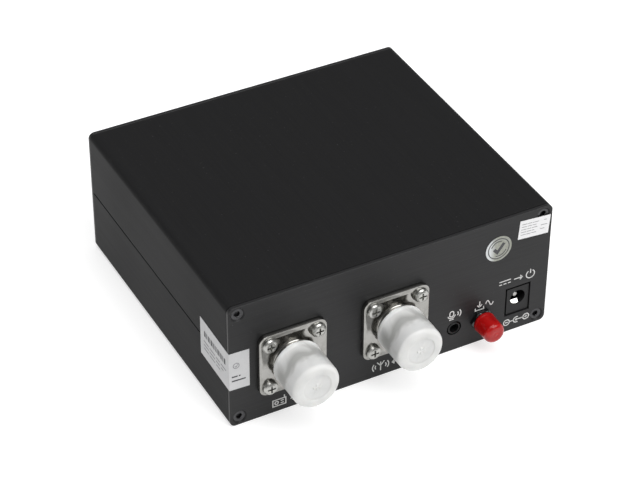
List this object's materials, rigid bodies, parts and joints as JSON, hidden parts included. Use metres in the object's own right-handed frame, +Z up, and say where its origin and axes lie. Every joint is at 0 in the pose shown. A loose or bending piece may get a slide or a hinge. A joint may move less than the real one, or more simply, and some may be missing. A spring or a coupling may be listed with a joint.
{
  "type": "antenna sharing switch box",
  "caption": "Black split aluminium case with two capped flanged coaxial sockets, a small capped threaded socket, a plug jack and a barrel supply jack on its connector panel.",
  "frame": {"origin": "on the underside, at the middle of the case's footprint", "axes": "+Z up, -Y out of the connector panel, +X to the right when facing that panel"},
  "size_m": [0.1251, 0.1383, 0.051],
  "materials": {
    "black_anodised_case": "black anodised extrusion, fine satin",
    "black_anodised_panel": "black anodised plate, brushed along its width",
    "black_oxide_screw": "black oxide steel",
    "zinc_screw": "bright zinc or nickel plated steel",
    "nickel_plate": "nickel plated brass, satin",
    "gold_plate": "thin gold plating on brass",
    "silver_contact": "silver or tin plated contact metal",
    "white_ptfe": "waxy white PTFE",
    "white_cap": "milky soft polyethylene",
    "red_cap": "soft glossy red vinyl",
    "black_moulding": "black moulded plastic",
    "black_button": "fine matt black plastic",
    "ferrite": "sintered ferrite",
    "copper_wire": "enamelled copper wire",
    "tinned_wire": "tinned copper wire",
    "capacitor_sleeve": "shrunk plastic sleeve",
    "black_epoxy": "moulded epoxy",
    "chip_ceramic": "ceramic chip parts",
    "green_board": "solder-masked glass epoxy board",
    "green_lamp": "tinted clear epoxy",
    "red_lamp": "tinted clear epoxy",
    "relay_plastic": "moulded relay base",
    "relay_cover": "moulded relay cover",
    "relay_iron": "plated soft iron",
    "spring_steel": "drawn spring wire",
    "white_label": "printed paper film",
    "seal_label": "grey-white printed paper film",
    "silver_sticker": "metallised sticker film"
  },
  "bodies": {
    "case": {"antenna_contact": "silver_contact", "antenna_insulator": "white_ptfe", "antenna_lead": "tinned_wire", "antenna_relay_base": "relay_plastic", "antenna_relay_coil": "copper_wire", "antenna_relay_cover": "relay_cover", "antenna_relay_terminals": "silver_contact", "antenna_relay_yoke": "relay_iron", "antenna_socket": "nickel_plate", "antenna_socket_nuts": "zinc_screw", "antenna_socket_screws": "zinc_screw", "button_spring": "spring_steel", "chip_parts": "chip_ceramic", "connector_panel": "black_anodised_panel", "connector_panel_screws": "black_oxide_screw", "corner_label": "white_label", "dc_jack_housing": "black_moulding", "dc_jack_pin": "silver_contact", "dc_jack_spring": "silver_contact", "front_panel": "black_anodised_panel", "front_panel_screws": "black_oxide_screw", "lower_shell": "black_anodised_case", "main_board": "green_board", "power_lamp": "green_lamp", "power_switch": "black_moulding", "ptt_jack_contacts": "silver_contact", "ptt_jack_housing": "black_moulding", "radio_contact": "silver_contact", "radio_insulator": "white_ptfe", "radio_lead": "tinned_wire", "radio_socket": "nickel_plate", "radio_socket_nuts": "zinc_screw", "radio_socket_screws": "zinc_screw", "round_sticker": "silver_sticker", "sdr_contact": "gold_plate", "sdr_insulator": "white_ptfe", "sdr_nut": "black_oxide_screw", "sdr_relay_base": "relay_plastic", "sdr_relay_coil": "copper_wire", "sdr_relay_cover": "relay_cover", "sdr_relay_terminals": "silver_contact", "sdr_relay_yoke": "relay_iron", "sdr_socket": "gold_plate", "sensing_core": "ferrite", "sensing_winding": "copper_wire", "side_seal_label": "seal_label", "supply_capacitors": "capacitor_sleeve", "timing_chip": "black_epoxy", "transmit_lamp": "red_lamp", "upper_shell": "black_anodised_case", "voltage_regulator": "black_epoxy"},
    "radio_cap": {"radio_cap": "white_cap"},
    "antenna_cap": {"antenna_cap": "white_cap"},
    "sdr_cap": {"sdr_cap": "red_cap"},
    "power_button": {"power_button": "black_button"},
    "antenna_relay_armature": {"antenna_relay_armature": "relay_iron"},
    "sdr_relay_armature": {"sdr_relay_armature": "relay_iron"}
  },
  "joints": [
    {"name": "radio_cap_pull", "type": "slide", "parent": "case", "child": "radio_cap", "axis": [0, -1, 0], "range_m": [0, 0.04]},
    {"name": "antenna_cap_pull", "type": "slide", "parent": "case", "child": "antenna_cap", "axis": [0, -1, 0], "range_m": [0, 0.04]},
    {"name": "sdr_cap_pull", "type": "slide", "parent": "case", "child": "sdr_cap", "axis": [0, -1, 0], "range_m": [0, 0.025]},
    {"name": "power_button_push", "type": "slide", "parent": "case", "child": "power_button", "axis": [0, -1, 0], "range_m": [0, 0.003], "stiffness_N_per_m": 300, "springref_m": -0.005, "deforming": ["button_spring"]},
    {"name": "antenna_relay_pull_in", "type": "hinge", "parent": "case", "child": "antenna_relay_armature", "pos_m": [-0.0044, -0.024, 0.01905], "axis": [0, -1, 0], "range_deg": [0, 4], "stiffness_Nm_per_rad": 0.002, "springref_deg": -17.19},
    {"name": "sdr_relay_pull_in", "type": "hinge", "parent": "case", "child": "sdr_relay_armature", "pos_m": [0.0256, -0.024, 0.01905], "axis": [0, -1, 0], "range_deg": [0, 4], "stiffness_Nm_per_rad": 0.002, "springref_deg": -17.19}
  ],
  "couplings": [
    {"joint": "sdr_relay_pull_in", "follows": "antenna_relay_pull_in", "ratio": 1}
  ]
}
